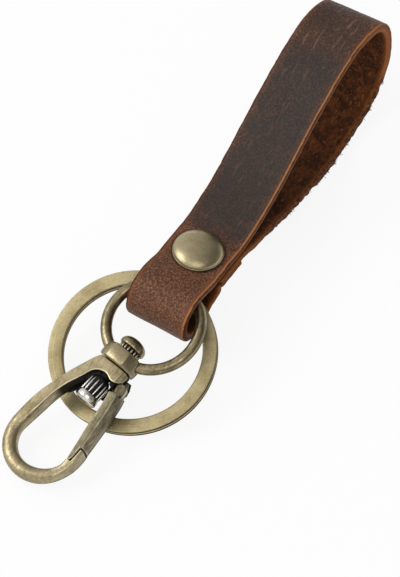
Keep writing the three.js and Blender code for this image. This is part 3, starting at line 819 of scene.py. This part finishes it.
# fluted neck and barrel: ribs repeated round an axis by geometry nodes
ribTree = plantTree("ribs_round_axis", (
    ("Ribs", "Int"), ("Radius", "Float"), ("Rib width", "Float"), ("Rib depth", "Float"), ("Rib length", "Float")), {
    "circle": ("GeometryNodeMeshCircle",),
    "rib": ("GeometryNodeMeshUVSphere", {}, {"Segments": 10, "Rings": 10, "Radius": 1.0}),
    "scale": ("ShaderNodeCombineXYZ",),
    "shape": ("GeometryNodeTransform",),
    "outward": ("GeometryNodeInputPosition",),
    "aim": ("FunctionNodeAlignRotationToVector", {"axis": "X"}, {}),
}, (
    ("in.Ribs", "circle.Vertices"), ("in.Radius", "circle.Radius"), ("in.Rib depth", "scale.X"),
    ("in.Rib width", "scale.Y"), ("in.Rib length", "scale.Z"), ("rib.Mesh", "shape.Geometry"),
    ("scale.Vector", "shape.Scale"), ("circle.Mesh", "spots.Points"), ("shape.Geometry", "spots.Instance"),
    ("outward.Position", "aim.Vector"), ("aim.Rotation", "spots.Rotation")))
knobSizes = {
    "profile": [(0, -7.95), (2.2, -7.95), (2.3, -7.83), (2.3, -7.05), (2.4, -6.95), (2.7, -6.9), (2.87, -6.83),
                (2.95, -6.65), (2.95, -6.4)],
    "dome": (2.95, 1.75, -6.3), "neckTop": -6.93, "ribs": 18, "ribMiddle": -7.45,
    "rib": {"Radius": 2.28, "Rib width": 0.22, "Rib depth": 0.3, "Rib length": 0.7}}
postSizes = {
    "profile": [(0, -21.25), (1.97, -21.25), (2.32, -21.13), (2.52, -20.83), (2.52, -19.9), (2.37, -19.6),
                (2.16, -19.58), (2.16, -16.2), (1.91, -15.65), (1.55, -15.25), (1.3, -15.1), (1.3, -5), (0, -5)],
    "headTop": -19.6, "ribs": 13, "ribMiddle": -17.9,
    "rib": {"Radius": 2.16, "Rib width": 0.2, "Rib depth": 0.27, "Rib length": 1.75}}


def makeRibs(name, finish, sizes):
    # ribs round the clasp's own axis
    piece = addPiece(name, [(0, 0, 0)], [], [finish])
    lengths = {key: value * mm for key, value in sizes["rib"].items()}
    runTree(piece, ribTree, {"Ribs": sizes["ribs"], "Finish": finish, **lengths})
    upright = Matrix.Translation((0, sizes["ribMiddle"], 0)) @ Matrix.Rotation(-pi / 2, 4, "X")
    piece.data.transform(Matrix.Scale(mm, 4) @ claspPlace @ upright @ Matrix.Scale(1 / mm, 4))
    return markWearAndCreaseShade(closeUp(piece, 60.0))


def turned(name, rows, finish, isCore, sharp):
    # a turned piece, black for painted shade where the heights of a face say so
    points, faces = lathe(rows, 64)
    piece = addPiece(name, points, faces, [finish, coreDark], claspPlace)
    setSlots(piece, [1 if isCore([points[i][1] for i in face]) else 0 for face in faces])
    return markWearAndCreaseShade(closeUp(piece, sharp))


def makeKnob():
    wide, rise, foot = knobSizes["dome"]
    turns = [pi / 2 * k / 16 for k in range(1, 16)]
    dome = [(wide * cos(t) ** 0.9, foot + rise * sin(t)) for t in turns] + [(0.0, foot + rise)]
    return turned("swivel_knob_head", knobSizes["profile"] + dome, eyeBronze,
                  lambda heights: max(heights) <= knobSizes["neckTop"], 45.0)


def makePost():
    return turned("swivel_post_core", postSizes["profile"], steelBright,
                  lambda heights: min(heights) >= postSizes["headTop"], 40.0)


knobPiece, knobRibs = makeKnob(), makeRibs("swivel_knob_flutes", eyeBronze, knobSizes)
for piece in (knobPiece, knobRibs):
    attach(piece, "hook")
    tell(piece)
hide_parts("swivel_knob")
postPiece, postRibs = makePost(), makeRibs("swivel_post_flutes", steelBright, postSizes)
for piece in (postPiece, postRibs):
    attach(piece, "hook")
    tell(piece)
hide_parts("swivel_post")


# hook body: one skin from the lobe over arch and bend to the nose, with small plates inside it
hookSizes = {"top": 11.9, "bendDrop": 21.1, "half": 8.8, "inner": 5.6, "thick": 4.3, "bendThick": 3.6, "pivotX": 4.6,
             "pivotDrop": 2.9, "tongue": 1.8, "nosePeak": 17.9, "noseInner": 7.42, "roundArm": 0.4, "roundBend": 1.5,
             "bendTrim": 0.05, "bendWiden": 0.14, "bendSteps": 60, "noseX": 7, "noseThin": (20.5, 26.0),
             "armThin": (14.0, 24.0), "archFade": (7.0, 13.0), "topFade": (-0.1, 0.5), "calmFade": (15.0, 22.0)}


def spread(start, stop, flat):
    # [u, z] pairs set out from one [x, drop] point towards another, in the clasp's own frame
    a, flow = Vector(start), (Vector(stop) - Vector(start)).normalized()
    return [((a + flow * u).x, -hookSizes["top"] - (a + flow * u).y, z) for u, z in flat]


def roundSection(outer, inner, half, radius, steps=5):
    # rounded rectangle with a corner midway along each side
    far = (Vector(inner) - Vector(outer)).length
    r = min(radius, far * 0.46, half * 0.96)
    flat = [(0.0, 0.0)]
    for cu, cz, start, middle in ((r, half - r, 180, [(far / 2, half)]), (far - r, half - r, 90, [(far, 0.0)]),
                                  (far - r, r - half, 0, [(far / 2, -half)]), (r, r - half, -90, [])):
        flat += arcPoints(cu, cz, r, radians(start), radians(start - 90), steps) + middle
    return spread(outer, inner, flat)


def makePlate(outline, low, high, bevel, slot):
    # plate with a bevel round its front, to be taken into another piece
    middle = sum((Vector(p) for p in outline), Vector((0, 0))) / len(outline)
    reach = sum((Vector(p) - middle).length for p in outline) / len(outline)
    rings = []
    for level, inset in ((low, 0.0), (high - bevel * 0.8, 0.0), (high - bevel * 0.68, bevel * 0.1),
                         (high - bevel * 0.14, bevel * 0.86), (high, bevel * 1.05)):
        scale = 1 - inset / reach
        rings.append([(middle.x + (x - middle.x) * scale,
                       -hookSizes["top"] - middle.y - (drop - middle.y) * scale, level) for x, drop in outline])
    plate = addPiece("plate", *loft(rings), [], claspPlace)
    setSlots(plate, [slot] * len(plate.data.polygons))
    return plate


def gather(piece, others):
    # closed shells taken into one mesh
    shape = bmesh.new()
    for part in (piece, *others):
        shape.from_mesh(part.data)
    shape.to_mesh(piece.data)
    shape.free()
    for part in others:
        dropPiece(part)


def hookStations():
    # outer [x, drop], inner [x, drop] and half thickness, from the lobe over the arch and the bend to the nose
    s, half = hookSizes, hookSizes["thick"] / 2
    stations = through([
        (3.95, -0.1, 3.8, 1.9, 0.95), (3.6, -0.26, 3.4, 2.5, 1.35), (3.15, -0.3, 3.0, 2.85, 1.98),
        *((*p, half) for p in (
            (2.92, -0.3, 2.75, 2.98), (2.3, -0.3, 1.95, 3.05), (1.5, -0.3, 1.15, 2.75), (0.6, -0.28, 0.45, 2.5),
            (-1.0, -0.25, -0.6, 2.55), (-2.4, -0.2, -1.55, 2.95), (-3.35, 0.15, -2.25, 3.6), (-3.95, 1.1, -2.7, 4.5),
            (-4.55, 2.6, -3.05, 5.6), (-5.2, 4.3, -3.6, 7.0), (-6.15, 7.0, -4.35, 8.9), (-7.05, 10.2, -5.05, 11.5),
            (-7.8, 13.4, -5.4, 14.2), (-8.35, 17.2, -5.55, 17.4), (-8.7, 21.1, -5.6, 21.1)))], 6)
    for k in range(1, s["bendSteps"] + 1):
        a = pi * (1 - k / s["bendSteps"])
        c, d = cos(a), sin(a)
        right, left = max(c, 0.0), max(-c, 0.0)
        trim = 1 - s["bendTrim"] * right
        stations.append(((s["half"] * trim - 0.1 * left) * c, s["bendDrop"] + s["half"] * d * (1 + trim) / 2,
                         s["inner"] * (1 + s["bendWiden"] * right) * c, s["bendDrop"] + s["inner"] * d, half))
    return stations + [(x, drop, s["noseInner"], drop, half) for x, drop in (
        (8.37, 21.07), (8.4, 20.6), (8.43, 19.8), (8.4, 18.7), (8.34, s["nosePeak"] + 0.12), (8.2, s["nosePeak"]))]


def makeHook():
    s, half = hookSizes, hookSizes["thick"] / 2
    rings, dark, bright = [], [], []
    for i, (ox, od, ix, drop, deep) in enumerate(hookStations()):
        nose = ox > s["noseX"]
        share = between(od, *s["noseThin" if nose else "armThin"])
        rings.append(roundSection((ox, od), (ix, drop), deep + (s["bendThick"] / 2 - half) * share,
                                  s["roundArm"] + (s["roundBend"] - s["roundArm"]) * share))
        # painted shade, black, in the arch and under the collar; burnished lines on the front edges and round the lobe
        arch = 0.0 if nose else 1 - between(od, *s["archFade"])
        under = 0.0 if nose else 0.9 * (1 - between(od, *s["topFade"]))
        calm = 1.0 if nose else 1 - between(od, *s["calmFade"])
        paintedShade = {**dict.fromkeys((0, 1, 2, 3, 26, 27), under), 4: under * 0.5, 11: arch * 0.5,
                 **dict.fromkeys(range(12, 21), arch)}
        for k in range(len(rings[0])):
            dark.append(paintedShade.get(k, 0.0))
            line = k in (9, 10) or (k == 4 and od > 0.6)
            bright.append(0.3 * calm if line else 0.28 if 15 <= i <= 17 and 4 < k < 11 else 0.0)
    piece = addPiece("hook_body_frame", *loft(rings), [hookBronze, coreDark, paintedShadeBronze], claspPlace)
    setLayer(piece, "cavity", dark)
    setLayer(piece, "rubbed", bright)
    lobe = through([(2.05, 3.6), (2.55, 3.8), (2.9, 3.5), (3.0, 2.6)], 4)
    gather(piece, [makePlate(*plate) for plate in (
        # sill under the gate's tip, back cheek, stop behind the lobe, and two lips at the arch's back; sill, stop and
        # lips are black for painted shade, the back cheek is bronze darkened for painted shade
        ([(7.5, 17.52), (8.2, 17.52), (8.25, 18.3), (7.5, 18.3)], -1.9, 1.55, 0.1, 1),
        ([(2.0, 0.7), (1.95, 3.1), (2.2, 3.7), (2.8, 3.95), (3.6, 3.95), (4.3, 3.75), (5.0, 3.35), (5.2, 2.8),
          (5.0, 1.8), (4.4, 0.7)], -0.95, -half, -0.3, 2),
        ([(1.6, 1.8), (1.6, 2.9), *lobe, (3.0, 1.9)], -1.05, 1.05, 0.1, 1),
        ([(-3.0, 3.8), (-2.35, 4.6), (-2.55, 6.0), (-3.1, 7.4), (-3.9, 8.9), (-4.6, 9.8), (-5.2, 9.8), (-4.5, 7.2),
          (-3.6, 5.0)], -2.1, -1.4, 0.1, 1),
        ([(1.55, 2.9), (2.45, 2.9), (2.5, 4.6), (2.45, 5.6), (2.3, 6.6), (1.65, 6.6)], -2.1, -1.8, 0.06, 1))])
    return markWearAndCreaseShade(closeUp(piece, 34.0))


hookPiece = makeHook()
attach(hookPiece, "hook")
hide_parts("hook_body")
tell(hookPiece)


# gate: flat face, one broad bevel on the outer side, stepped tip, middle tongue on the pin
gateSizes = {"thick": 4.0, "round": 0.2, "ridge": 0.64, "bevelFoot": 0.5, "step": 17.45, "tip": 20.92, "inner": 7.28,
             "tongueRadius": 1.15, "rubbed": {2: 0.24, 5: 0.27}}


def gateSection(left, right, share, trim):
    # flat front up to the ridge, then the broad bevel; the tip has no ridge
    h, r, foot = gateSizes["thick"] / 2, gateSizes["round"], gateSizes["bevelFoot"]
    far = (Vector(right) - Vector(left)).length
    top = h - trim
    if share < 1.0:
        ridge = far * share
        edge = [(ridge - 0.14, top), (ridge, top - 0.02), (ridge + 0.14, top - 0.1), (far - 0.16, foot + 0.18),
                (far - 0.04, foot), (far, foot - 0.18)]
    else:
        edge = [(far * 0.5, top), (far - r * 1.4, top), (far - r, top), (far - r * 0.3, top - r * 0.3),
                (far, top - r), (far, foot)]
    return spread(left, right, [
        (0.0, 0.0), (0.0, top - r), (r * 0.3, top - r * 0.3), (r, top), *edge, (far, r - h),
        (far - r * 0.3, r * 0.3 - h), (far - r, -h), (r, -h), (r * 0.3, r * 0.3 - h), (0.0, r - h)])


def makeGate():
    g, s = gateSizes, hookSizes
    step, tip, inner = g["step"], g["tip"], g["inner"]
    arm = through([(3.3, 4.8, 5.95, 3.85), (3.5, 5.5, 6.3, 5.0), (4.0, 7.6, 6.75, 7.2), (4.35, 9.6, 7.15, 9.4),
                   (4.95, 13.2, 7.65, 13.1), (5.8, step, 8.15, step)], 8)
    end = through([(5.81, step + 0.03, inner, step + 0.03), (6.15, 19.3, inner, 19.3), (6.38, 20.4, inner, 20.35),
                   (6.46, tip, inner - 0.25, tip)], 4)
    trims = [0.12, 0.03] + [0.0] * (len(arm) + len(end) - 3) + [0.08]
    shares = [g["ridge"]] * len(arm) + [1.0] * len(end)
    rings = [gateSection(p[:2], p[2:], share, trim) for p, share, trim in zip(arm + end, shares, trims)]
    piece = addPiece("hook_gate_arm", *loft(rings), [gateBronze, paintedShadeBronze], claspPlace)
    setLayer(piece, "rubbed", [g["rubbed"].get(k, 0.0) for ring in rings for k in range(len(ring))])
    neck = arcPoints(s["pivotX"], s["pivotDrop"], g["tongueRadius"], 2.75, 2 * pi - 0.4, 28)
    gather(piece, [makePlate(neck + [(6.0, 4.2), (6.1, 5.4), (3.9, 5.6)], -s["tongue"] / 2, s["tongue"] / 2, 0.12, 1)])
    return markWearAndCreaseShade(closeUp(piece, 30.0))


gatePiece = makeGate()
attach(gatePiece, "gate")
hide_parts("hook_gate")
tell(gatePiece)


# hinge pin, its ends inside the tongue and the back cheek
pinSizes = {"radius": 0.65, "low": -2.0, "high": 0.7, "round": 0.15}


def makePin():
    s = hookSizes
    radius, low, high, edge = (pinSizes[key] for key in ("radius", "low", "high", "round"))
    rings = []
    for wide, level in ((radius - edge, low), (radius, low + edge), (radius, high - edge), (radius - edge, high)):
        outline = circle(s["pivotX"], s["pivotDrop"], wide, 32)
        rings.append([(x, -s["top"] - drop, level) for x, drop in outline])
    return closeUp(addPiece("hook_gate_pin", *loft(rings), [steelBright], claspPlace))


pinPiece = makePin()
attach(pinPiece, "hook")
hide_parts("gate_pin")
tell(pinPiece)


# painted shade in the hollows, under the collar and on the clasp pieces' undersides
markPaintedShade([hookPiece, postPiece, postRibs, knobPiece, knobRibs], 6.0, (), 0.56)
markPaintedShade([gatePiece], 2.0, (), 0.6)
markPaintedShade([eyePiece], 3.0, [hookPiece, knobPiece], 0.6)
markPaintedShade([ringPiece], 0.8)
markPaintedShade([capPiece], 2.0)
print("painted shade marked")


# carried-over solids, mostly hidden
for name, finish in (("rivet_socket", capBronze), ("rivet_post", capBronze), ("gate_spring", steelBright)):
    cadNodes[name].data.materials.clear()
    cadNodes[name].data.materials.append(finish)


# camera, floor and light
viewSizes = {"azimuth": radians(32), "elevation": radians(58), "distance": 0.9, "lens": 273.4,
             "target": (5.08, -9.32, 10.86), "fallOff": (0.848, 0.53, 0.0), "sweep": (0.2, 0.95), "floor": 3000.0,
             "floorGlow": 0.88}


def place(name, data, spot, facing):
    # a camera or lamp at a spot, its back turned along facing
    thing = addObject(name, data)
    thing.location = spot
    thing.rotation_euler = facing.to_track_quat("Z", "Y").to_euler()
    return thing


def addCamera():
    v = viewSizes
    flat = cos(v["elevation"])
    toward = Vector((sin(v["azimuth"]) * flat, -cos(v["azimuth"]) * flat, sin(v["elevation"])))
    data = setAll(bpy.data.cameras.new("photo_camera"), {
        "lens": v["lens"], "sensor_width": 36.0, "clip_start": 0.05, "clip_end": 20.0})
    spot = Vector(v["target"]) * mm + toward * v["distance"]
    bpy.context.scene.camera = place("photo_camera", data, spot, toward)


def addFloor():
    # white where it is seen, straight or in metal, and plain where it catches the shadow
    paint = Paint("studio_floor")
    seen, shine, clear = (paint.node("ShaderNodeLightPath", (), ray) for ray in (
        "Is Camera Ray", "Is Glossy Ray", "Is Transmission Ray"))
    plain = paint.node("ShaderNodeBsdfDiffuse", {"Color": (0.9, 0.9, 0.895, 1)})
    glow = paint.node("ShaderNodeEmission", {"Color": (1, 1, 1, 1), "Strength": 1.0})
    share = seen.highest(shine).highest(clear) * viewSizes["floorGlow"]
    both = paint.node("ShaderNodeMixShader", {0: share, 1: plain, 2: glow})
    paint.node("ShaderNodeOutputMaterial", {"Surface": both})
    size = viewSizes["floor"]
    corners = [(-size, -size, 0), (size, -size, 0), (size, size, 0), (-size, size, 0)]
    floor = addPiece("studio_floor", corners, [(0, 1, 2, 3)], [paint.material])


def addWorld():
    # a soft studio: bright from the left and along the horizon, falling off to the upper right
    world = bpy.data.worlds.new("studio")
    bpy.context.scene.world = world
    paint = Paint("studio", world)
    way = paint.node("ShaderNodeTexCoord", (), "Generated")
    side, rise = (paint.node("ShaderNodeVectorMath", (way, axis), "Value", operation="DOT_PRODUCT")
                  for axis in (viewSizes["fallOff"], (0.0, 0.0, 1.0)))
    level = paint.band(side, 0.75, -0.5, viewSizes["sweep"]).highest(paint.band(rise, 0.3, 0.1))
    glow = paint.node("ShaderNodeBackground", {"Color": (1, 1, 1, 1), "Strength": level})
    paint.node("ShaderNodeOutputWorld", {"Surface": glow})


def addLamp(name, spot, size, power):
    data = setAll(bpy.data.lights.new(name, "AREA"), {"shape": "DISK", "size": size, "energy": power})
    place(name, data, spot, Vector(spot) - Vector((0, 0, 0.01)))


addCamera()
addFloor()
addWorld()
addLamp("key_lamp", (-0.62, -0.3, 0.6), 0.6, 3.2)
addLamp("fill_lamp", (0.3, -0.45, 0.95), 0.7, 2.0)
bpy.context.scene.view_settings.view_transform = "Standard"
print("camera, floor and light ready")
